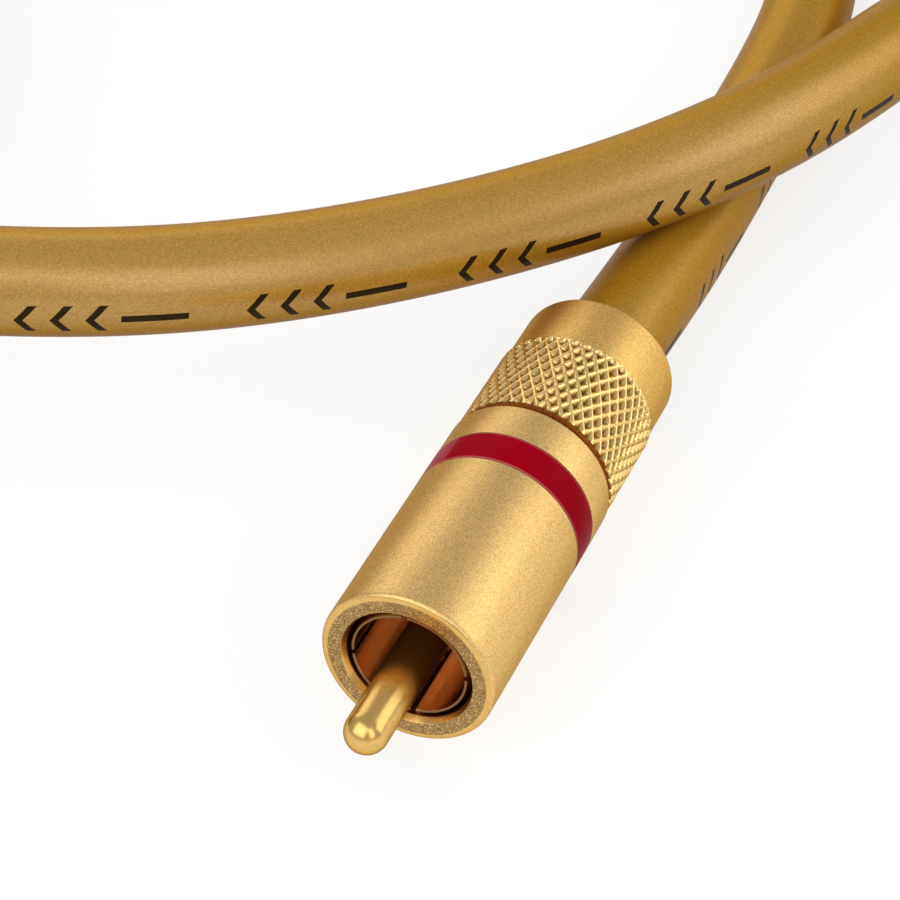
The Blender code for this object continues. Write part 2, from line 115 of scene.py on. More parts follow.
NEAR_PLUG = Matrix.Translation((0.0, NEAR_FACE, AXIS_HEIGHT))
FAR_PLUG = Matrix.Translation((*into_far_plug(COLLAR_END), AXIS_HEIGHT)) @ Matrix.Rotation(
    FAR_HEADING + math.pi / 2, 4, "Z"
)
SIDES = {"near": NEAR_PLUG, "far": FAR_PLUG}
print("plug length: %.1f mm" % ((PIN_REACH + COLLAR_END) * 1000))

# %% [markdown]
# ## The cable's route
#
# A cable is one length of one thing, so it gets one centreline from plug to plug. It leaves the near plug,
# swings left, runs into a coil of two turns and a bit, comes off the top of the coil, passes over itself in
# a long low hump and ends in the far plug. The points below are the chosen ones of the solids; a
# Catmull-Rom curve with centripetal knots goes through them without kinks or loops.

# %% Points that the cable passes through
ON_FLOOR = CABLE_RADIUS
OVER_STRAND = ON_FLOOR + CABLE_DIAMETER + 0.0008
COIL_CENTRE = Vector((-0.1120, 0.0250))
COIL_RADIUS = 0.0420
COIL_FLOOR = 0.0052
LAYER_PITCH = 0.00835
COIL_TOP = 0.02205
COIL_ENTRY = math.radians(125)
COIL_EXIT = math.radians(275)
RAMP_START = math.radians(15)
RAMP_END = math.radians(105)


def between(low, high, share):
    """The value that lies this share of the way from low to high."""
    return low + (high - low) * share


def ease(share):
    """A soft start and a soft stop between 0 and 1."""
    share = min(max(share, 0.0), 1.0)
    return share * share * (3 - 2 * share)


NEAR_STRAND = [
    (0.0, NEAR_FACE + COLLAR_END, AXIS_HEIGHT),
    (0.0000, 0.0300, between(ON_FLOOR, AXIS_HEIGHT, 0.80)),
    (-0.0001, 0.0380, between(ON_FLOOR, AXIS_HEIGHT, 0.35)),
    (-0.0004, 0.0460, between(ON_FLOOR, AXIS_HEIGHT, 0.03)),
    (-0.0006, 0.0560, ON_FLOOR),
    (-0.0009, 0.0680, ON_FLOOR),
    (-0.0019, 0.0820, ON_FLOOR),
    (-0.0055, 0.0951, ON_FLOOR),
    (-0.0132, 0.1062, ON_FLOOR),
    (-0.0243, 0.1139, ON_FLOOR),
    (-0.0374, 0.1175, ON_FLOOR),
    (-0.0509, 0.1163, ON_FLOOR),
    (-0.0632, 0.1105, ON_FLOOR),
    (-0.0764, 0.1012, ON_FLOOR),
    (-0.0910, 0.0910, ON_FLOOR),
]
FAR_STRAND = [
    (-0.0905, -0.0147, between(COIL_TOP, OVER_STRAND, 0.06)),
    (-0.0732, -0.0109, between(COIL_TOP, OVER_STRAND, 0.20)),
    (-0.0562, -0.0054, between(COIL_TOP, OVER_STRAND, 0.38)),
    (-0.0398, 0.0018, between(COIL_TOP, OVER_STRAND, 0.57)),
    (-0.0335, 0.0055, between(COIL_TOP, OVER_STRAND, 0.66)),
    (-0.0272, 0.0101, between(COIL_TOP, OVER_STRAND, 0.75)),
    (-0.0212, 0.0155, between(COIL_TOP, OVER_STRAND, 0.83)),
    (-0.0153, 0.0216, between(COIL_TOP, OVER_STRAND, 0.90)),
    (-0.0096, 0.0284, between(COIL_TOP, OVER_STRAND, 0.96)),
    (-0.0038, 0.0360, OVER_STRAND),
    (0.0013, 0.0441, between(OVER_STRAND, AXIS_HEIGHT, 0.02)),
    (0.0039, 0.0498, between(OVER_STRAND, AXIS_HEIGHT, 0.09)),
    (0.0063, 0.0567, between(OVER_STRAND, AXIS_HEIGHT, 0.19)),
    (0.0085, 0.0649, between(OVER_STRAND, AXIS_HEIGHT, 0.32)),
    (0.0099, 0.0720, between(OVER_STRAND, AXIS_HEIGHT, 0.46)),
    (0.0117, 0.0810, between(OVER_STRAND, AXIS_HEIGHT, 0.76)),
    (0.0128, 0.0890, between(OVER_STRAND, AXIS_HEIGHT, 0.96)),
    (*into_far_plug(0.0), AXIS_HEIGHT),
]


def coil_height(turned_by):
    """Height of the cable in the coil: flat layers, and a climb to the next one in each turn."""
    height = COIL_FLOOR
    for layer, rise in enumerate((LAYER_PITCH, COIL_TOP - COIL_FLOOR - LAYER_PITCH)):
        start = math.tau * (layer + 1) + RAMP_START
        height += rise * ease((turned_by - start) / (RAMP_END - RAMP_START))
    return height


def coil_points():
    """The turns of the coil, from where the cable comes in to where it leaves."""
    first = COIL_ENTRY
    last = COIL_EXIT + 2 * math.tau
    points = []
    for angle in np.linspace(first, last, 61):
        place = COIL_CENTRE + COIL_RADIUS * Vector((math.cos(angle), math.sin(angle)))
        points.append((*place, coil_height(angle)))
    return points


route = NEAR_STRAND + coil_points() + FAR_STRAND
print("points chosen for the route:", len(route))

# %% [markdown]
# ## One smooth centreline
#
# The points are joined, read again at even steps of a millimetre and a half, and then each step is averaged
# with its neighbours a few times. The averaging takes out the small changes of bend at the chosen points,
# which a shiny jacket would show as bands.

# %% Join and smooth the route
STEP = 0.0015
SMOOTHING_PASSES = 24


def catmull_rom(points, fine=16):
    """Points of one smooth curve through the chosen ones."""
    points = np.array(points, dtype=float)
    ends = np.vstack([2 * points[0] - points[1], points, 2 * points[-1] - points[-2]])
    curve = [points[0]]
    for p0, p1, p2, p3 in zip(ends, ends[1:], ends[2:], ends[3:]):
        t0 = 0.0
        t1 = t0 + math.sqrt(np.linalg.norm(p1 - p0))
        t2 = t1 + math.sqrt(np.linalg.norm(p2 - p1))
        t3 = t2 + math.sqrt(np.linalg.norm(p3 - p2))
        for t in np.linspace(t1, t2, fine + 1)[1:]:
            a = (t1 - t) / (t1 - t0) * p0 + (t - t0) / (t1 - t0) * p1
            b = (t2 - t) / (t2 - t1) * p1 + (t - t1) / (t2 - t1) * p2
            c = (t3 - t) / (t3 - t2) * p2 + (t - t2) / (t3 - t2) * p3
            d = (t2 - t) / (t2 - t0) * a + (t - t0) / (t2 - t0) * b
            e = (t3 - t) / (t3 - t1) * b + (t - t1) / (t3 - t1) * c
            curve.append((t2 - t) / (t2 - t1) * d + (t - t1) / (t2 - t1) * e)
    return np.array(curve)


def evenly(curve, step):
    """The curve read at even steps, with both ends kept, and the length at each step."""
    lengths = np.concatenate([[0.0], np.cumsum(np.linalg.norm(np.diff(curve, axis=0), axis=1))])
    places = np.linspace(0.0, lengths[-1], round(lengths[-1] / step) + 1)
    return np.stack([np.interp(places, lengths, curve[:, axis]) for axis in range(3)], 1), places


def relaxed(curve, passes):
    """Each inner point averaged with its neighbours, over and over."""
    curve = curve.copy()
    for _ in range(passes):
        curve[1:-1] = 0.25 * curve[:-2] + 0.5 * curve[1:-1] + 0.25 * curve[2:]
    return curve


middle, _ = evenly(catmull_rom(route), STEP)
middle = relaxed(middle, SMOOTHING_PASSES)
start = np.array([[0.0, NEAR_FACE + JACKET_END, AXIS_HEIGHT]])
end = np.array([[*into_far_plug(COLLAR_END - JACKET_END), AXIS_HEIGHT]])
centreline, along_cable = evenly(np.vstack([start, middle, end]), STEP)

# %% [markdown]
# ## The jacket as a tube with its own measure
#
# A curve with a bevel would do for the shape. A mesh tube is used instead, because its UV map can hold two
# real measures: how far along the cable a spot lies, in metres, and how far round it, from 0 to 1, starting
# underneath. Later the print on the jacket follows that measure round every bend.

# %% A tube along the centreline
AROUND = 40


def tube_mesh(name, line, places, radius):
    """A round tube along a line, closed at both ends. UV is (metres along, share of the way round)."""
    tangents = np.gradient(line, axis=0)
    tangents /= np.linalg.norm(tangents, axis=1)[:, None]
    sides = np.cross(tangents, (0.0, 0.0, 1.0))
    sides /= np.linalg.norm(sides, axis=1)[:, None]
    ups = np.cross(sides, tangents)
    turn = np.linspace(0.0, math.tau, AROUND, endpoint=False)
    offset = (
        sides[:, None, :] * np.sin(turn)[None, :, None] - ups[:, None, :] * np.cos(turn)[None, :, None]
    )
    rings = len(line)
    corners = (line[:, None, :] + radius * offset).reshape(-1, 3)
    faces = []
    for ring in range(rings - 1):
        for spoke in range(AROUND):
            after = (spoke + 1) % AROUND
            low, high = ring * AROUND, (ring + 1) * AROUND
            faces.append((low + spoke, low + after, high + after, high + spoke))
    faces.append(tuple(range(AROUND - 1, -1, -1)))
    faces.append(tuple(range((rings - 1) * AROUND, rings * AROUND)))
    mesh = bpy.data.meshes.new(name)
    mesh.from_pydata(corners.tolist(), [], faces)
    layer = mesh.uv_layers.new(name="measure")
    measure = []
    for ring in range(rings - 1):
        for spoke in range(AROUND):
            low, high = spoke / AROUND, (spoke + 1) / AROUND
            near, far = places[ring], places[ring + 1]
            measure += [near, low, near, high, far, high, far, low]
    measure += [places[0], 0.0] * AROUND + [places[-1], 0.0] * AROUND
    layer.data.foreach_set("uv", measure)
    mesh.shade_smooth()
    mesh.set_sharp_from_angle(angle=math.radians(50))
    return mesh


print("sides of the tube:", AROUND)

# %% Finish a mesh and put it in place


def smooth_mesh(name, corners, faces, sharp_from, finishes=None):
    """A mesh with its faces turned outwards, smooth but for the edges that are sharper than an angle."""
    mesh = bpy.data.meshes.new(name)
    mesh.from_pydata(corners, [], faces)
    if finishes is not None:
        mesh.polygons.foreach_set("material_index", finishes)
    form = bmesh.new()
    form.from_mesh(mesh)
    bmesh.ops.recalc_face_normals(form, faces=form.faces)
    form.to_mesh(mesh)
    form.free()
    mesh.shade_smooth()
    mesh.set_sharp_from_angle(angle=math.radians(sharp_from))
    return mesh


def add_piece(name, mesh, place=Matrix.Identity(4)):
    """Puts a mesh in the scene, in its place, and lets it move with the object."""
    made = bpy.data.objects.new(name, mesh)
    bpy.context.scene.collection.objects.link(made)
    made.matrix_world = place
    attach(made, "root")
    return made


print("mesh helpers ready")

# %% The jacket
jacket = add_piece("jacket", tube_mesh("jacket", centreline, along_cable, CABLE_RADIUS))
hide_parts("cable_from_near_plug", "cable_coil", "cable_to_far_plug")
print("jacket faces:", len(jacket.data.polygons))

# %% [markdown]
# ## A bench lathe in code
#
# Almost every part of a plug is turned on a lathe. The helper below takes a list of corners, each with its
# place along the axis, its radius, how much it is rounded and the finish of the stretch that follows. It
# rounds the corners with short arcs, because a real turned edge always catches a thin line of light, and
# spins the outline. A radius may also be a whole row of radii, one for each step round, which is how the
# knurl is made.

# %% Turned pieces
ROUND_STEPS = 5
MOST_ROUND = 0.85
SHARP_TURNED = 40


def rounded(corners, closed):
    """The outline with its corners rounded, as (along, radius, finish)."""
    outline = []
    count = len(corners)
    for index, (along, radius, fillet, finish) in enumerate(corners):
        here = Vector((along, radius))
        at_end = not closed and index in (0, count - 1)
        if fillet == 0 or at_end:
            outline.append((along, radius, finish))
            continue
        before = Vector(corners[index - 1][:2]) - here
        after = Vector(corners[(index + 1) % count][:2]) - here
        opening = before.angle(after)
        reach = fillet / math.tan(opening / 2)
        reach = min(reach, MOST_ROUND * before.length, MOST_ROUND * after.length)
        first = here + before.normalized() * reach
        last = here + after.normalized() * reach
        arc = reach * math.tan(opening / 2)
        centre = here + (before.normalized() + after.normalized()).normalized() * math.hypot(arc, reach)
        from_centre = first - centre
        sweep = from_centre.angle_signed(last - centre)
        previous = corners[index - 1][3]
        for step in range(ROUND_STEPS + 1):
            turned_by = -sweep * step / ROUND_STEPS
            spot = centre + Matrix.Rotation(turned_by, 2) @ from_centre
            late = step >= ROUND_STEPS // 2
            outline.append((spot.x, spot.y, finish if late else previous))
    return outline


def spun(name, outline, closed=True, steps=192):
    """Spins an outline of (along, radius or radii, finish) about local Y."""
    turn = np.linspace(0.0, math.tau, steps, endpoint=False)
    corners = []
    rings = []
    for along, radius, _ in outline:
        radii = np.broadcast_to(np.asarray(radius, dtype=float), steps)
        start = len(corners)
        if radii.max() == 0.0:
            corners.append((0.0, along, 0.0))
            rings.append([start] * steps)
            continue
        corners += np.stack([radii * np.cos(turn), np.full(steps, along), radii * np.sin(turn)], 1).tolist()
        rings.append(list(range(start, start + steps)))
    pairs = list(zip(rings, rings[1:], outline))
    if closed:
        pairs.append((rings[-1], rings[0], outline[-1]))
    faces = []
    finishes = []
    for first, second, (_, _, finish) in pairs:
        for step in range(steps):
            after = (step + 1) % steps
            face = (first[step], first[after], second[after], second[step])
            faces.append(tuple(dict.fromkeys(face)))
            finishes.append(finish)
    return smooth_mesh(name, corners, faces, SHARP_TURNED, finishes)


def turned(name, corners, closed=True, steps=192):
    """A turned piece from its corners."""
    return spun(name, rounded(corners, closed), closed, steps)


def on_both_plugs(name, mesh):
    """Places one mesh on each plug, where it stands for that plug's own solid."""
    made = []
    for side, place in SIDES.items():
        piece = add_piece(f"{side}_{name}_dressed", mesh, place)
        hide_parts(f"{side}_{name}")
        made.append(piece)
    return made


print("steps in each rounded corner:", ROUND_STEPS)

# %% [markdown]
# ## The shell
#
# The front barrel is turned from brass, blasted with fine beads and plated with gold. A flat, coarsely
# blasted ring in front has a polished edge inside and outside, and the mouth flares a little to guide the
# socket in. A shallow groove holds the coloured band. Behind the barrel a narrow neck, in a redder and
# darker finish that is painted shade, leaves a dark line before the collar.

# %% Turn the shell
# RIM and GROOVE are finishes with darkened tints that are painted shade.
BLASTED, RIM, POLISHED, GROOVE = 0, 1, 2, 3
RING_INNER = 0.00496
RING_OUTER = 0.00596
RING_PROUD = 0.00004
RIM_ROUND = 0.00036
BAND_SEAT = 0.0061
SEAT_MARGIN = 0.0001
NECK_RADIUS = 0.00580
NECK_END = SHELL_LENGTH + 0.00035
BODY_CLEARANCE_RADIUS = 0.0054
MOUTH_RADIUS = 0.00472
MOUTH_FLARE_END = 0.00050
MOUTH_FLOOR = 0.01015
MOUTH_FLOOR_RADIUS = 0.00485
shell_mesh = turned(
    "shell",
    [
        (0.0, RING_INNER, 0.00005, RIM),
        (0.0, RING_OUTER, 0.00004, POLISHED),
        (RING_PROUD, SHELL_RADIUS, RIM_ROUND, BLASTED),
        (BAND_START - SEAT_MARGIN, SHELL_RADIUS, 0.00003, BLASTED),
        (BAND_START - SEAT_MARGIN, BAND_SEAT, 0.0, BLASTED),
        (BAND_END + SEAT_MARGIN, BAND_SEAT, 0.0, BLASTED),
        (BAND_END + SEAT_MARGIN, SHELL_RADIUS, 0.00003, BLASTED),
        (SHELL_LENGTH, SHELL_RADIUS, 0.00022, GROOVE),
        (SHELL_LENGTH, NECK_RADIUS, 0.00006, GROOVE),
        (NECK_END, NECK_RADIUS, 0.00006, GROOVE),
        (NECK_END, BODY_CLEARANCE_RADIUS, 0.0, GROOVE),
        (MOUTH_FLOOR, BODY_CLEARANCE_RADIUS, 0.0, POLISHED),
        (MOUTH_FLOOR, MOUTH_FLOOR_RADIUS, 0.0, POLISHED),
        (MOUTH_FLARE_END, MOUTH_RADIUS, 0.00006, POLISHED),
    ],
)
shells = on_both_plugs("shell", shell_mesh)
print("shell faces:", len(shell_mesh.polygons))

# %% [markdown]
# ## The coloured band
#
# The band is a printed film, wound once round the shell with its ends lapped. It is a plain thin ring here;
# the lap, painted lighter as a painted reflection, and the thin pale edges are made in its material.

# %% Wind the band
BAND_INSIDE = 0.0062
BAND_OUTSIDE = SHELL_RADIUS + 0.00001
FILM_ROUND = 0.00004
band_mesh = turned(
    "colour_band",
    [
        (BAND_START, BAND_INSIDE, 0.0, 0),
        (BAND_START, BAND_OUTSIDE, FILM_ROUND, 0),
        (BAND_END, BAND_OUTSIDE, FILM_ROUND, 0),
        (BAND_END, BAND_INSIDE, 0.0, 0),
    ],
)
bands = on_both_plugs("colour_band", band_mesh)
print("band width: %.1f mm" % ((BAND_END - BAND_START) * 1000))

# %% [markdown]
# ## The split collet
#
# Inside the shell a thin springy tube grips the socket. Four slots let its fingers give. The tube is turned
# first and then slotted with two crossed bars by a Boolean, which is just how the real one is made.

# %% Turn and slot the ground body
SLOT_WIDTH = 0.0004
SLOT_END = COLLET_FRONT + 0.0066
SLOT_TURN = math.radians(4)
BAR_LENGTH = 0.02
FACE_WIDTH = 0.00018
FACE_ROUND = 0.00005
TAPER_LENGTH = 0.00040
TAPER_ROUND = 0.00010
# The collet's front face takes the finish whose darker tint is painted shade.
BORE_FINISH, FACE_FINISH = 0, 1


def baked(obj):
    """Replaces an object's mesh by the result of its modifiers."""
    graph = bpy.context.evaluated_depsgraph_get()
    mesh = bpy.data.meshes.new_from_object(obj.evaluated_get(graph))
    obj.modifiers.clear()
    obj.data = mesh
    return mesh


body_mesh = turned(
    "ground_body",
    [
        (COLLET_FRONT, COLLET_BORE, FACE_ROUND, FACE_FINISH),
        (COLLET_FRONT, COLLET_BORE + FACE_WIDTH, FACE_ROUND, FACE_FINISH),
        (COLLET_FRONT + TAPER_LENGTH, COLLET_OUTER, TAPER_ROUND, BORE_FINISH),
        (COLLET_DEPTH, COLLET_OUTER, 0.0, BORE_FINISH),
        (COLLET_DEPTH, SHANK_RADIUS, 0.0, BORE_FINISH),
        (SHANK_END, SHANK_RADIUS, 0.00015, BORE_FINISH),
        (SHANK_END, BODY_BORE, 0.0, BORE_FINISH),
        (COLLET_DEPTH, BODY_BORE, 0.0, BORE_FINISH),
        (COLLET_DEPTH - 0.0003, COLLET_BORE, 0.0, BORE_FINISH),
    ],
)
slotted = bpy.data.objects.new("slotted", body_mesh)
bpy.context.scene.collection.objects.link(slotted)
bars = []
for index in range(2):
    form = bmesh.new()
    bmesh.ops.create_cube(form, size=1.0)
    bmesh.ops.scale(form, vec=(BAR_LENGTH, 2 * SLOT_END, SLOT_WIDTH), verts=form.verts)
    bar_mesh = bpy.data.meshes.new("slot_bar")
    form.to_mesh(bar_mesh)
    form.free()
    bar = bpy.data.objects.new("slot_bar", bar_mesh)
    bpy.context.scene.collection.objects.link(bar)
    bar.rotation_euler = (0.0, -SLOT_TURN - index * math.pi / 2, 0.0)
    cut = slotted.modifiers.new("slot", "BOOLEAN")
    cut.object = bar
    cut.operation = "DIFFERENCE"
    cut.solver = "EXACT"
    bars.append(bar)
body_mesh = baked(slotted)
body_mesh.shade_smooth()
body_mesh.set_sharp_from_angle(angle=math.radians(SHARP_TURNED))
for helper in bars + [slotted]:
    bpy.data.objects.remove(helper)
ground_bodies = on_both_plugs("ground_body", body_mesh)
print("ground body faces:", len(body_mesh.polygons))

# %% [markdown]
# ## The centre pin
#
# The pin carries the signal. It is a polished rod with a round nose; behind the insulator it narrows and
# ends in a cup where the wire is soldered.

# %% Turn the centre pin
NOSE_STEPS = 14
STEM_RADIUS = 0.0011
CUP_RADIUS = 0.0009
CUP_START = 0.01825
CUP_FLOOR = 0.01925
PIN_END = 0.02275
pin_outline = []
for step in range(NOSE_STEPS + 1):
    angle = step / NOSE_STEPS * math.pi / 2
    along = PIN_RADIUS - PIN_REACH - PIN_RADIUS * math.cos(angle)
    pin_outline.append((along, PIN_RADIUS * math.sin(angle) if step else 0.0, 0))
pin_outline += [
    (COLLET_DEPTH, PIN_RADIUS, 0),
    (COLLET_DEPTH, STEM_RADIUS, 0),
    (CUP_START, STEM_RADIUS, 0),
    (CUP_START, PIN_RADIUS, 0),
    (PIN_END, PIN_RADIUS, 0),
    (PIN_END, CUP_RADIUS, 0),
    (CUP_FLOOR, CUP_RADIUS, 0),
    (CUP_FLOOR, 0.0, 0),
]
pin_mesh = spun("centre_pin", pin_outline, closed=False, steps=96)
pins = on_both_plugs("centre_pin", pin_mesh)
print("pin faces:", len(pin_mesh.polygons))

# %% [markdown]
# ## The collar and its knurl
#
# A knurling wheel presses a net of fine ridges into the metal, with a small four-sided pit in each mesh. Two
# families of ridges cross, so each spot gets two counts: one that grows along one family and one along the
# other. The pit is deepest where both counts are whole numbers and rises evenly to the ridges half way
# between. Real geometry is used rather than bump, because the ridges show at the outline.

# %% Press the knurl
KNURLS_AROUND = 40
KNURLS_ALONG = 4.87
KNURL_SIDES = 480
KNURL_ROWS = 84
KNURL_TURN = math.radians(42.1)
KNURL_PHASE = 0.02396
KNURL_FADE = 0.0003
LAND = 0.15
PIT_CURVE = 1.1
COLLAR_INSIDE = 0.0054
COLLAR_FRONT_RADIUS = 0.0060
CABLE_HOLE = 0.0044
LIP_LENGTH = 0.0023
TAIL_ROUND = 0.00035
TAIL_FINISH, KNURL_FINISH = 0, 1


def pit(count):
    """Depth of one family of pits: 1 in the middle between two ridges, 0 on a ridge."""
    return 1.0 - 2.0 * np.abs(count - np.round(count))


def knurled_radii(along):
    """Radii round the collar at one place along it."""
    turn = np.linspace(0.0, math.tau, KNURL_SIDES, endpoint=False)
    around = (turn - KNURL_TURN) * KNURLS_AROUND / math.tau
    length = (KNURL_END - COLLAR_START) / KNURLS_ALONG
    lengthwise = (along - KNURL_PHASE) / length
    depth = np.minimum(pit(around + lengthwise), pit(around - lengthwise))
    depth = np.clip((depth - LAND) / (1.0 - LAND), 0.0, 1.0) ** PIT_CURVE
    fade = np.clip((KNURL_END - along) / KNURL_FADE, 0.0, 1.0)
    return KNURL_RADIUS - KNURL_DEPTH * depth * fade


collar_outline = [
    (COLLAR_START, COLLAR_INSIDE, TAIL_FINISH),
    (COLLAR_START, COLLAR_FRONT_RADIUS, TAIL_FINISH),
]
for along in np.linspace(COLLAR_START, KNURL_END, KNURL_ROWS):
    collar_outline.append((along, knurled_radii(along), KNURL_FINISH))
collar_outline += rounded(
    [
        (KNURL_END + 0.00004, KNURL_RADIUS - 0.00002, 0.0, TAIL_FINISH),
        (KNURL_END + 0.00022, COLLAR_RADIUS, 0.0, TAIL_FINISH),
        (KNURL_END + 0.00030, COLLAR_RADIUS, 0.0, TAIL_FINISH),
        (COLLAR_END, COLLAR_RADIUS, TAIL_ROUND, TAIL_FINISH),
        (COLLAR_END, CABLE_HOLE, 0.0001, TAIL_FINISH),
        (COLLAR_END - LIP_LENGTH, CABLE_HOLE, 0.0, TAIL_FINISH),
        (COLLAR_END - LIP_LENGTH, COLLAR_INSIDE, 0.0, TAIL_FINISH),
    ],
    closed=False,
)
collar_mesh = spun("collar", collar_outline, closed=True, steps=KNURL_SIDES)
collars = on_both_plugs("collar", collar_mesh)
print("collar faces:", len(collar_mesh.polygons))

# %% [markdown]
# ## The ties
#
# Each tie is a strap of soft hook-and-loop tape, wound round the coil's bundle with its tongue pressed on
# top. The strap is one band swept along a rounded loop and a little past its own start.

# %% Wind the ties
TIE_WIDTH = 0.0100
TIE_THICKNESS = 0.0008
TIE_SLACK = 0.0008
SEAT_GAP = 0.0003
TONGUE_STEPS = 3
TONGUE_LIFT = 1.08 * TIE_THICKNESS
TIP_STEPS = 3.4
EDGE_ROUND = 0.3
TIES = {
    "tie_1": (math.radians(160), COIL_TOP + CABLE_RADIUS),
    "tie_2": (math.radians(340), COIL_FLOOR + LAYER_PITCH + CABLE_RADIUS),
}
INNER_FACE = math.sqrt((COIL_RADIUS - CABLE_RADIUS) ** 2 - (TIE_WIDTH / 2) ** 2)


def loop_points(low, high, radius, corner_steps=6, side_steps=4):
    """A rounded rectangle as a closed chain of points, starting half way up its outer side."""
    points = []
    corners = ((1, 1), (0, 1), (0, 0), (1, 0))
    for quarter, (across, up) in enumerate(corners):
        centre = Vector(
            (high[0] - radius if across else low[0] + radius, high[1] - radius if up else low[1] + radius)
        )
        for step in range(corner_steps + 1):
            angle = (quarter + step / corner_steps) * math.pi / 2
            points.append(centre + radius * Vector((math.cos(angle), math.sin(angle))))
    filled = []
    for first, second in zip(points, points[1:] + points[:1]):
        gap = (second - first).length
        pieces = side_steps if gap > 2 * radius else 1
        filled += [first.lerp(second, step / pieces) for step in range(pieces)]
    return filled


def strap_mesh(name, loop, lap):
    """A strap along a loop, with a tongue that goes on past the start on the outside."""
    count = len(loop)
    steps = count + lap
    soft = EDGE_ROUND * TIE_THICKNESS
    rows = []
    for index in range(steps + 1):
        here = loop[index % count]
        ahead = loop[(index + 1) % count]
        behind = loop[(index - 1) % count]
        outward = Vector(((ahead - behind).y, -(ahead - behind).x)).normalized()
        lift = TONGUE_LIFT * ease((index - count + TONGUE_STEPS) / TONGUE_STEPS)
        half = TIE_WIDTH / 2
        to_tip = TONGUE_STEPS - (steps - index)
        if to_tip > 0:
            half *= math.sqrt(1 - (to_tip / TIP_STEPS) ** 2)
        inside = here + outward * lift
        outside = inside + outward * TIE_THICKNESS
        low_edge = inside.lerp(outside, EDGE_ROUND)
        high_edge = outside.lerp(inside, EDGE_ROUND)
        ring = (
            (inside, -half + soft),
            (inside, half - soft),
            (low_edge, half),
            (high_edge, half),
            (outside, half - soft),
            (outside, -half + soft),
            (high_edge, -half),
            (low_edge, -half),
        )
        rows.append([(spot.x, across, spot.y) for spot, across in ring])
    corners = [corner for row in rows for corner in row]
    size = len(rows[0])
    faces = [
        (
            row * size + index,
            row * size + (index + 1) % size,
            (row + 1) * size + (index + 1) % size,
            (row + 1) * size + index,
        )
        for row in range(len(rows) - 1)
        for index in range(size)
    ]
    faces.append(tuple(range(size)))
    faces.append(tuple(range((len(rows) - 1) * size, len(rows) * size)))
    return smooth_mesh(name, corners, faces, sharp_from=60)


straps = []
for tie, (angle, bundle_top) in TIES.items():
    low = (INNER_FACE - TIE_SLACK, TIE_THICKNESS)
    high = (COIL_RADIUS + CABLE_RADIUS + SEAT_GAP, bundle_top + SEAT_GAP)
    loop = loop_points(low, high, CABLE_RADIUS / 2)
    strap = add_piece(
        f"{tie}_strap",
        strap_mesh(tie, loop, lap=9),
        Matrix.Translation((*COIL_CENTRE, 0.0)) @ Matrix.Rotation(angle, 4, "Z"),
    )
    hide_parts(tie)
    straps.append(strap)
print("straps:", [strap.name for strap in straps])

# %% [markdown]

# %% [markdown]
# ## Building materials from nodes
#
# A few short helpers keep the materials readable. An input takes either a plain value or another node's
# output, so a node is made and wired in one line. Constants go straight onto the shader's sockets, and only
# what varies over the surface is wired.

# %% Helpers for nodes


def feed(tree, socket, value):
    """Gives an input a plain value, or joins it to another node's output."""
    if isinstance(value, bpy.types.NodeSocket):
        tree.links.new(value, socket)
    else:
        socket.default_value = value


def add_node(tree, kind, values=None, **settings):
    """A node with its settings, and its inputs by name or number."""
    node = tree.nodes.new(kind)
    for key, value in settings.items():
        setattr(node, key, value)
    for key, value in (values or {}).items():
        feed(tree, node.inputs[key], value)
    return node


def calculate(tree, operation, *values, clamp=False):
    """The result of a math node."""
    node = add_node(tree, "ShaderNodeMath", dict(enumerate(values)), operation=operation, use_clamp=clamp)
    return node.outputs[0]


def mixed(tree, share, first, second):
    """A colour that goes from the first to the second as the share goes from 0 to 1."""
    values = {0: share, 6: first, 7: second}
    return add_node(tree, "ShaderNodeMix", values, data_type="RGBA").outputs[2]


def scaled(tree, colour, share):
    """A colour made darker or lighter over the surface."""
    values = {0: colour, "Scale": share}
    return add_node(tree, "ShaderNodeVectorMath", values, operation="SCALE").outputs["Vector"]


def own_place(tree):
    """The place on the piece, in the piece's own metres."""
    return add_node(tree, "ShaderNodeTexCoord").outputs["Object"]


def new_material(name, colour, roughness, metallic=0.0, **sockets):
    """A material with its plain values set on the shader itself."""
    material = bpy.data.materials.new(name)
    material.use_nodes = True
    shader = material.node_tree.nodes["Principled BSDF"]
    shader.inputs["Base Color"].default_value = (*colour, 1.0)
    shader.inputs["Roughness"].default_value = roughness
    shader.inputs["Metallic"].default_value = metallic
    for socket, value in sockets.items():
        shader.inputs[socket.replace("_", " ")].default_value = value
    return material, material.node_tree, shader


def new_group(name, inputs, outputs):
    """An empty node group with named inputs, their usual values, and named outputs."""
    group = bpy.data.node_groups.new(name, "ShaderNodeTree")
    for socket, value in inputs.items():
        kind = "NodeSocketVector" if value is None else "NodeSocketFloat"
        made = group.interface.new_socket(socket, in_out="INPUT", socket_type=kind)
        if value is not None:
            made.default_value = value
    for socket in outputs:
        group.interface.new_socket(socket, in_out="OUTPUT", socket_type="NodeSocketFloat")
    start = add_node(group, "NodeGroupInput")
    end = add_node(group, "NodeGroupOutput")
    return group, start.outputs, end.inputs


def use_group(tree, group, values):
    """Places a node group in a material with its own values."""
    node = tree.nodes.new("ShaderNodeGroup")
    node.node_tree = group
    for key, value in values.items():
        feed(tree, node.inputs[key], value)
    return node.outputs


print("node helpers ready")
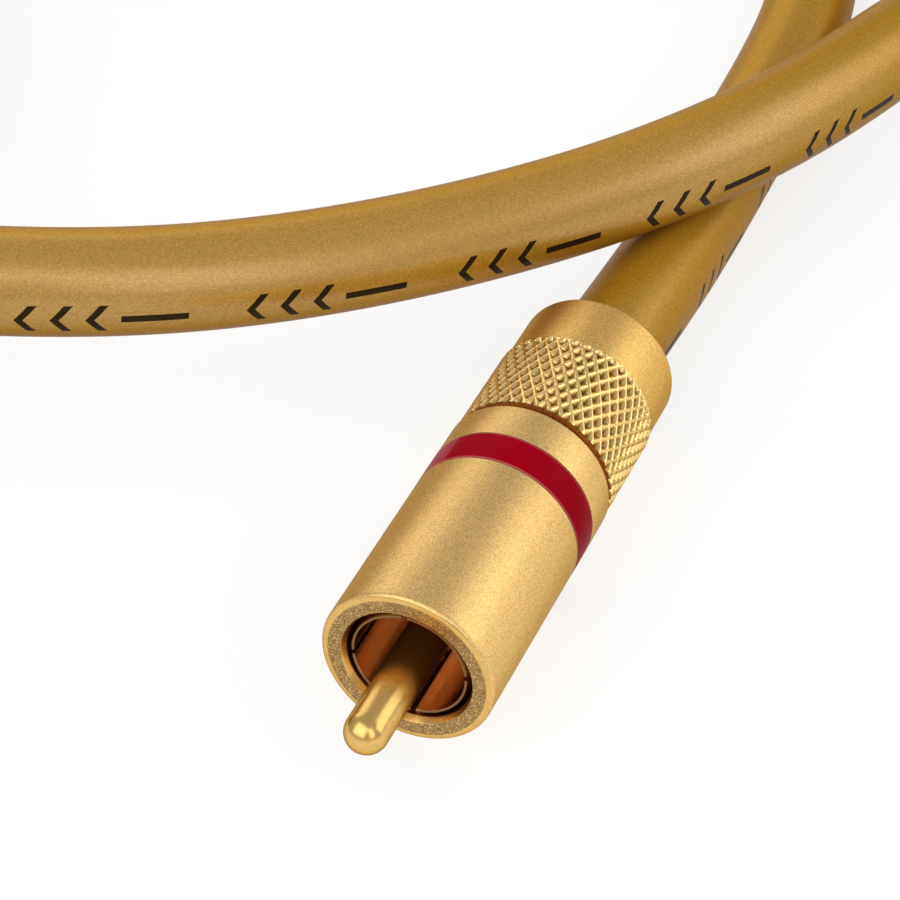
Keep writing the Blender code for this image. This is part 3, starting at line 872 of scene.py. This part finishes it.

# %% [markdown]
# ## Shared effect: fine grain
#
# Bead blasting leaves countless shallow dimples, and plating rounds them. Two noises of different size make
# the height, and a cell pattern makes the tone of each grain differ at random. Its sparkle paints single
# grains bright, as painted glints of grains that face the light. The same effect, with other values, serves
# the flakes in the jacket, the plastics and the pile of the straps.

# %% Group: fine grain
BROAD_SHARE = 0.22
SPOTS_ABOVE = (0.86, 0.90)
grain, grain_in, grain_out = new_group(
    "fine_grain",
    {"Place": None, "Size": 0.00012, "Softness": 0.5, "Low": 0.85, "High": 1.2, "Sparkle": 0.0},
    ("Height", "Glint"),
)
frequency = calculate(grain, "DIVIDE", 1.0, grain_in["Size"])
broad_frequency = calculate(grain, "MULTIPLY", frequency, BROAD_SHARE)
textures = {}
for name, kind, scale, values in (
    ("fine", "Noise", frequency, {"Detail": 2.0, "Roughness": 0.6}),
    ("broad", "Noise", broad_frequency, {"Detail": 1.0, "Roughness": 0.5}),
    ("cells", "Voronoi", frequency, {"Randomness": 1.0}),
):
    values = {"Vector": grain_in["Place"], "Scale": scale, **values}
    textures[name] = add_node(grain, "ShaderNodeTex" + kind, values).outputs
height = add_node(
    grain,
    "ShaderNodeMix",
    {0: grain_in["Softness"], 2: textures["fine"]["Fac"], 3: textures["broad"]["Fac"]},
    data_type="FLOAT",
)
cell = add_node(grain, "ShaderNodeSeparateColor", {"Color": textures["cells"]["Color"]}).outputs
glint = add_node(
    grain,
    "ShaderNodeMapRange",
    {"Value": cell["Red"], "To Min": grain_in["Low"], "To Max": grain_in["High"]},
).outputs["Result"]
# The sparkle paints single grains bright: painted glints.
spot = add_node(
    grain,
    "ShaderNodeMapRange",
    {"Value": cell["Green"], "From Min": SPOTS_ABOVE[0], "From Max": SPOTS_ABOVE[1]},
).outputs["Result"]
feed(grain, grain_out["Height"], height.outputs[0])
feed(grain, grain_out["Glint"], calculate(grain, "MULTIPLY_ADD", spot, grain_in["Sparkle"], glint))
print("group made:", grain.name)


def add_grain(tree, shader, colour=None, bump=None, shade=None, **values):
    """Lays the grain on a shader: glints scale the colour, and bump is the relief's (strength, depth)."""
    effect = use_group(tree, grain, {"Place": own_place(tree), **values})
    if colour:
        # A shade, where given, darkens the colour as painted shade.
        glint = effect["Glint"] if shade is None else calculate(tree, "MULTIPLY", effect["Glint"], shade)
        feed(tree, shader.inputs["Base Color"], scaled(tree, colour, glint))
    if bump:
        strength, depth = bump
        relief = add_node(
            tree, "ShaderNodeBump", {"Strength": strength, "Distance": depth, "Height": effect["Height"]}
        )
        feed(tree, shader.inputs["Normal"], relief.outputs["Normal"])
    return effect


# %% [markdown]
# ## Gold, blasted and polished
#
# Metal has no colour of its own under the reflection: all of its colour is in how it tints what it mirrors.
# So a finish is a tint with its own roughness and grain. The rim in front is more coarsely blasted, and its
# tint is darkened as painted shade for the darker surroundings it mirrors; its sparkle paints bright glints.
# The groove behind the shell gets a redder, darker tint as painted shade of the recess, and the knurl's pits
# are darkened towards their bottoms with painted shade.

# %% Gold finishes
EDGE_TINT = (0.34, 0.30, 0.24, 1.0)
PLATE_RELIEF = 0.00002
PIT_BOTTOM = 0.00030
PIT_TOP = 0.00006
PAINTED_PIT_SHADE = 0.50


def painted_pit_shade(tree):
    """Painted shade for the knurl: a share that falls from 1 on its ridges to its darkest at the bottom of
    its pits.
    """
    flat = add_node(
        tree, "ShaderNodeVectorMath", {0: own_place(tree), 1: (1.0, 0.0, 1.0)}, operation="MULTIPLY"
    )
    from_axis = add_node(tree, "ShaderNodeVectorMath", {0: flat.outputs["Vector"]}, operation="LENGTH")
    values = {
        "Value": from_axis.outputs["Value"],
        "From Min": KNURL_RADIUS - PIT_BOTTOM,
        "From Max": KNURL_RADIUS - PIT_TOP,
        "To Min": PAINTED_PIT_SHADE,
    }
    return add_node(tree, "ShaderNodeMapRange", values).outputs["Result"]


def gold(name, tint, roughness, size, strength, low, high, sparkle=0.0, pits=False):
    """Plated metal: its tint, its roughness, and its grain's size, relief, darkest and brightest glint."""
    material, tree, shader = new_material(name, tint, roughness, 1.0, Specular_Tint=EDGE_TINT)
    # The knurl's pits get painted shade, darker towards their bottoms.
    shade = painted_pit_shade(tree) if pits else None
    grains = {"Size": size, "Softness": 0.05, "Low": low, "High": high, "Sparkle": sparkle}
    add_grain(tree, shader, tint, (strength, PLATE_RELIEF), shade, **grains)
    return material


blasted_gold = gold("blasted_gold", (0.82, 0.55, 0.205), 0.44, 0.00006, 0.24, 0.72, 1.28)
tail_gold = gold("tail_gold", (0.84, 0.52, 0.160), 0.42, 0.00006, 0.24, 0.72, 1.28)
# The rim's darker tint is painted shade, and its sparkle paints bright glints.
rim_gold_painted_shade = gold("rim_gold_painted_shade", (0.36, 0.230, 0.088), 0.40, 0.00007, 0.24, 0.50, 1.50, sparkle=1.2)
# The knurl's pits are darkened with painted shade.
knurl_gold = gold("knurl_gold", (0.96, 0.66, 0.25), 0.27, 0.00010, 0.20, 0.92, 1.08, pits=True)
polished_gold = gold("polished_gold", (0.76, 0.48, 0.15), 0.25, 0.00025, 0.10, 0.95, 1.05)
bore_gold = gold("bore_gold", (0.79, 0.55, 0.34), 0.18, 0.00025, 0.15, 0.93, 1.07)
# The collet face's darker tint is painted shade, so that it mirrors the lamps less.
face_gold_painted_shade = gold("face_gold_painted_shade", (0.24, 0.13, 0.05), 0.24, 0.00025, 0.10, 0.95, 1.05)
# The groove's redder, darker tint is painted shade of the recess.
groove_gold_painted_shade = gold("groove_gold_painted_shade", (0.62, 0.30, 0.06), 0.24, 0.00025, 0.10, 0.95, 1.05)

for mesh, finishes in (
    (shell_mesh, (blasted_gold, rim_gold_painted_shade, polished_gold, groove_gold_painted_shade)),
    (collar_mesh, (tail_gold, knurl_gold)),
    (body_mesh, (bore_gold, face_gold_painted_shade)),
    (pin_mesh, (polished_gold,)),
):
    for finish in finishes:
        mesh.materials.append(finish)
    print(mesh.name, "finishes:", len(finishes))

# %% [markdown]
# ## The band's film
#
# The film is a crimson ink on clear plastic. Where its ends lap, the ink is painted a little lighter, a
# painted reflection, and a hair of it stands pale along both edges.

# %% Band material
LAP_REFLECTION_START = math.radians(128)
LAP_REFLECTION_END = math.radians(152)
HALF_BAND = (BAND_END - BAND_START) / 2
EDGE_FROM = HALF_BAND - 0.00014
EDGE_TO = HALF_BAND - 0.00005
INK = (0.33, 0.0, 0.009, 1.0)
LAP_INK_PAINTED_REFLECTION = (0.42, 0.030, 0.065, 1.0)
PALE_EDGE = (0.50, 0.10, 0.10, 1.0)
film, film_tree, film_shader = new_material("crimson_film", INK[:3], 0.42, Specular_IOR_Level=0.02)
on_film = add_node(film_tree, "ShaderNodeSeparateXYZ", {"Vector": own_place(film_tree)}).outputs
film_angle = calculate(film_tree, "ARCTAN2", on_film["Z"], on_film["X"])
# The lighter ink over the lap is a painted reflection.
lap = calculate(film_tree, "COMPARE", film_angle, (LAP_REFLECTION_START + LAP_REFLECTION_END) / 2, (LAP_REFLECTION_END - LAP_REFLECTION_START) / 2)
lap_with_painted_reflection = mixed(film_tree, lap, INK, LAP_INK_PAINTED_REFLECTION)
from_middle = calculate(film_tree, "SUBTRACT", on_film["Y"], (BAND_START + BAND_END) / 2)
to_edge = calculate(film_tree, "ABSOLUTE", from_middle)
edge = add_node(
    film_tree, "ShaderNodeMapRange", {"Value": to_edge, "From Min": EDGE_FROM, "From Max": EDGE_TO}
)
edged = mixed(film_tree, edge.outputs["Result"], lap_with_painted_reflection, PALE_EDGE)
feed(film_tree, film_shader.inputs["Base Color"], edged)
band_mesh.materials.append(film)
print("film lap: %.0f degrees wide" % math.degrees(LAP_REFLECTION_END - LAP_REFLECTION_START))

# %% [markdown]
# ## Marks on the jacket
#
# A line of plain dark marks runs along one side of the jacket: three arrowheads that show the direction of
# the signal, and a dash. A picture would do, but sums are sharper at any distance: the measure along the
# cable is folded into one period, and each mark is a simple test on it.

# %% Group: marks along a line
MARK_PERIOD = 0.0165
ARROWHEADS = (0.0030, 0.0055, 0.0080)
ARROW_SLANT = -0.75
DASH_MIDDLE = 0.0126
DASH_HALF = 0.0024
marks, marks_in, marks_out = new_group(
    "line_marks",
    {"Along": 0.0, "Across": 0.0, "Period": MARK_PERIOD, "Height": 0.00130, "Stroke": 0.00032},
    ("Mask",),
)
in_period = calculate(marks, "FLOORED_MODULO", marks_in["Along"], marks_in["Period"])
away = calculate(marks, "ABSOLUTE", marks_in["Across"])
slanted = calculate(marks, "MULTIPLY_ADD", away, ARROW_SLANT, in_period)
dash_along = calculate(marks, "COMPARE", in_period, DASH_MIDDLE, DASH_HALF)
dash_across = calculate(marks, "LESS_THAN", away, marks_in["Stroke"])
within_height = calculate(marks, "LESS_THAN", away, marks_in["Height"])
mask = calculate(marks, "MULTIPLY", dash_along, dash_across)
for middle_of_arrow in ARROWHEADS:
    offset = calculate(marks, "ABSOLUTE", calculate(marks, "SUBTRACT", slanted, middle_of_arrow))
    stroke = calculate(marks, "LESS_THAN", offset, marks_in["Stroke"])
    arrow = calculate(marks, "MULTIPLY", stroke, within_height)
    mask = calculate(marks, "MAXIMUM", mask, arrow)
feed(marks, marks_out["Mask"], mask)
print("marks repeat every %.1f mm" % (MARK_PERIOD * 1000))

# %% [markdown]
# ## The jacket's material
#
# The jacket is soft plastic filled with fine gold-coloured flakes under a clear skin, so it shines like
# satin, with a pale highlight and a faint sparkle. The flakes come from the shared grain, which paints their
# sparkle into the colour as painted glints. The skin is the shader's coat. It fades where the surface turns
# away, as the flakes lie flat and mirror little there, and it is left off the print, which is matt.

# %% Jacket material
JACKET_COLOUR = (0.462, 0.248, 0.015)
PRINT_COLOUR = (0.030, 0.020, 0.006, 1.0)
MARK_SIDE = 0.229
CABLE_GIRTH = math.tau * CABLE_RADIUS
jacket_material, jacket_tree, jacket_shader = new_material(
    "flaked_jacket",
    JACKET_COLOUR,
    0.36,
    0.42,
    Specular_IOR_Level=0.12,
    Specular_Tint=(0.28, 0.19, 0.09, 1.0),
    Coat_Roughness=0.31,
    Coat_IOR=1.8,
)
flake_values = {"Size": 0.00008, "Softness": 0.10, "Low": 0.80, "High": 1.20, "Sparkle": 0.25}
flakes = add_grain(jacket_tree, jacket_shader, bump=(0.16, PLATE_RELIEF), **flake_values)
uv = add_node(jacket_tree, "ShaderNodeUVMap", uv_map="measure").outputs["UV"]
measured = add_node(jacket_tree, "ShaderNodeSeparateXYZ", {"Vector": uv}).outputs
across = calculate(jacket_tree, "MULTIPLY_ADD", measured["Y"], CABLE_GIRTH, -MARK_SIDE * CABLE_GIRTH)
printed = use_group(jacket_tree, marks, {"Along": measured["X"], "Across": across})["Mask"]
# The flakes' glints scale the colour: a random tone, with painted glints from the sparkle.
flaked = scaled(jacket_tree, JACKET_COLOUR, flakes["Glint"])
feed(jacket_tree, jacket_shader.inputs["Base Color"], mixed(jacket_tree, printed, flaked, PRINT_COLOUR))

# %% The jacket's clear skin
SKIN_WHOLE = 0.15
SKIN_GONE = 0.55
facing = add_node(jacket_tree, "ShaderNodeLayerWeight").outputs["Facing"]
skin = add_node(
    jacket_tree,
    "ShaderNodeMapRange",
    {"Value": facing, "From Min": SKIN_WHOLE, "From Max": SKIN_GONE, "To Min": 1.0, "To Max": 0.0},
).outputs["Result"]
unprinted = calculate(jacket_tree, "SUBTRACT", 1.0, printed)
bare_skin = calculate(jacket_tree, "MULTIPLY", skin, unprinted)
flashes = calculate(jacket_tree, "MULTIPLY", bare_skin, flakes["Glint"], clamp=True)
feed(jacket_tree, jacket_shader.inputs["Coat Weight"], flashes)
jacket.data.materials.append(jacket_material)
print("jacket colour:", JACKET_COLOUR)

# %% [markdown]
# ## The pieces inside, and the straps
#
# The insulator, the shield, the clamp and the wire keep the shapes of their solids. They only need their
# finishes, for anyone who looks down the plug's mouth or takes it apart.

# %% Inner finishes
INSULATOR_COLOUR = (0.80, 0.78, 0.72)
WEAVE_SCALE = 2600.0
insulator_material, insulator_tree, insulator_shader = new_material("fluoropolymer", INSULATOR_COLOUR, 0.5)
add_grain(insulator_tree, insulator_shader, INSULATOR_COLOUR, Size=0.0004, Low=0.95, High=1.03)

foam_material, foam_tree, foam_shader = new_material("foamed_core", (0.82, 0.81, 0.77), 0.6)
add_grain(foam_tree, foam_shader, bump=(0.3, 0.00004), Size=0.0002, Low=0.94, High=1.03)

braid_material, braid_tree, braid_shader = new_material("tinned_braid", (0.62, 0.61, 0.58), 0.32, 1.0)
weave = add_node(braid_tree, "ShaderNodeTexChecker", {"Vector": own_place(braid_tree), "Scale": WEAVE_SCALE})
crossings = add_node(
    braid_tree, "ShaderNodeBump", {"Strength": 0.7, "Distance": 0.0001, "Height": weave.outputs["Fac"]}
)
feed(braid_tree, braid_shader.inputs["Normal"], crossings.outputs["Normal"])

INNER_FINISHES = {
    "insulator": insulator_material,
    "cable_clamp": polished_gold,
    "braid": braid_material,
    "dielectric": foam_material,
    "conductor": gold("plated_wire", (0.66, 0.63, 0.58), 0.18, 0.0002, 0.1, 0.97, 1.03),
}
for side in SIDES:
    for name, finish in INNER_FINISHES.items():
        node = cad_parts[f"{side}_{name}"]
        node.data.materials.clear()
        node.data.materials.append(finish)
print("inner pieces finished:", len(SIDES) * len(INNER_FINISHES))

# %% Strap material
STRAP_COLOUR = (0.022, 0.022, 0.024)
strap_material, strap_tree, strap_shader = new_material(
    "loop_tape", STRAP_COLOUR, 0.9, Sheen_Weight=0.5, Sheen_Roughness=0.5
)
pile = {"Size": 0.00022, "Softness": 0.3, "Low": 0.6, "High": 1.6}
add_grain(strap_tree, strap_shader, STRAP_COLOUR, (0.8, 0.00015), **pile)
for strap in straps:
    strap.data.materials.append(strap_material)
print("strap material:", strap_material.name)

# %% [markdown]
# ## Floor, world and lamps
#
# Metal shows its surroundings, so they matter more than the lamps. The floor is white paper. To the camera
# and in reflections it is topped up to a clean white, and it still takes a soft shadow. Four soft lamps
# stand round the plug. The two behind it put the long highlights on its sides, a broad one in front on the
# left lights the mouth and the jacket, and a narrow one in front on the right edges the barrel.

# %% White floor
PAPER = 0.30
TOP_UP = 0.75
FLOOR_HALF = 3.0
FLOOR_DROP = 0.00005
floor_mesh = bpy.data.meshes.new("paper_floor")
floor_corners = [(x * FLOOR_HALF, y * FLOOR_HALF, 0.0) for x, y in ((-1, -1), (1, -1), (1, 1), (-1, 1))]
floor_mesh.from_pydata(floor_corners, [], [(0, 1, 2, 3)])
floor = bpy.data.objects.new("paper_floor", floor_mesh)
bpy.context.scene.collection.objects.link(floor)
floor.location.z = -FLOOR_DROP
floor_material, floor_tree, floor_shader = new_material(
    "white_paper",
    (PAPER, PAPER, PAPER),
    0.9,
    Specular_IOR_Level=0.0,
    Emission_Color=(1.0, 1.0, 1.0, 1.0),
)
paths = add_node(floor_tree, "ShaderNodeLightPath").outputs
seen = calculate(floor_tree, "MAXIMUM", paths["Is Camera Ray"], paths["Is Glossy Ray"])
seen_through = calculate(floor_tree, "MAXIMUM", seen, paths["Is Transmission Ray"])
top_up = calculate(floor_tree, "MULTIPLY", seen_through, TOP_UP)
feed(floor_tree, floor_shader.inputs["Emission Strength"], top_up)
floor_mesh.materials.append(floor_material)
print("floor: paper %.2f, top-up %.2f" % (PAPER, TOP_UP))

# %% World
WORLD_LEVEL = 0.50
world = bpy.data.worlds.new("studio")
bpy.context.scene.world = world
world.use_nodes = True
background = world.node_tree.nodes["Background"]
background.inputs["Color"].default_value = (1.0, 1.0, 1.0, 1.0)
background.inputs["Strength"].default_value = WORLD_LEVEL
print("world level: %.2f" % WORLD_LEVEL)

# %% Lamps
PLUG_MIDDLE = Vector((0.0, 0.0, AXIS_HEIGHT))


def soft_lamp(name, towards, distance, width, tall, level):
    """A soft lamp that faces the plug from a direction. Level 1 is as bright as white paper."""
    data = bpy.data.lights.new(name, "AREA")
    data.shape = "RECTANGLE"
    data.size = width
    data.size_y = tall
    data.energy = level * math.pi * width * tall
    lamp = bpy.data.objects.new(name, data)
    bpy.context.scene.collection.objects.link(lamp)
    direction = Vector(towards).normalized()
    lamp.location = PLUG_MIDDLE + direction * distance
    lamp.rotation_euler = (-direction).to_track_quat("-Z", "Y").to_euler()


soft_lamp("right_back", (0.76, 0.53, 0.44), 0.8, 0.84, 0.52, 1.25)
soft_lamp("left_back", (-0.62, 0.70, 0.34), 0.8, 0.56, 0.62, 1.0)
soft_lamp("front_left", (-0.26, -0.69, 0.68), 1.0, 1.20, 1.00, 1.45)
soft_lamp("front_right", (0.66, -0.52, 0.54), 1.0, 0.42, 0.80, 1.4)
bpy.context.scene.view_settings.view_transform = "Standard"
print("lamps:", len(bpy.data.lights))
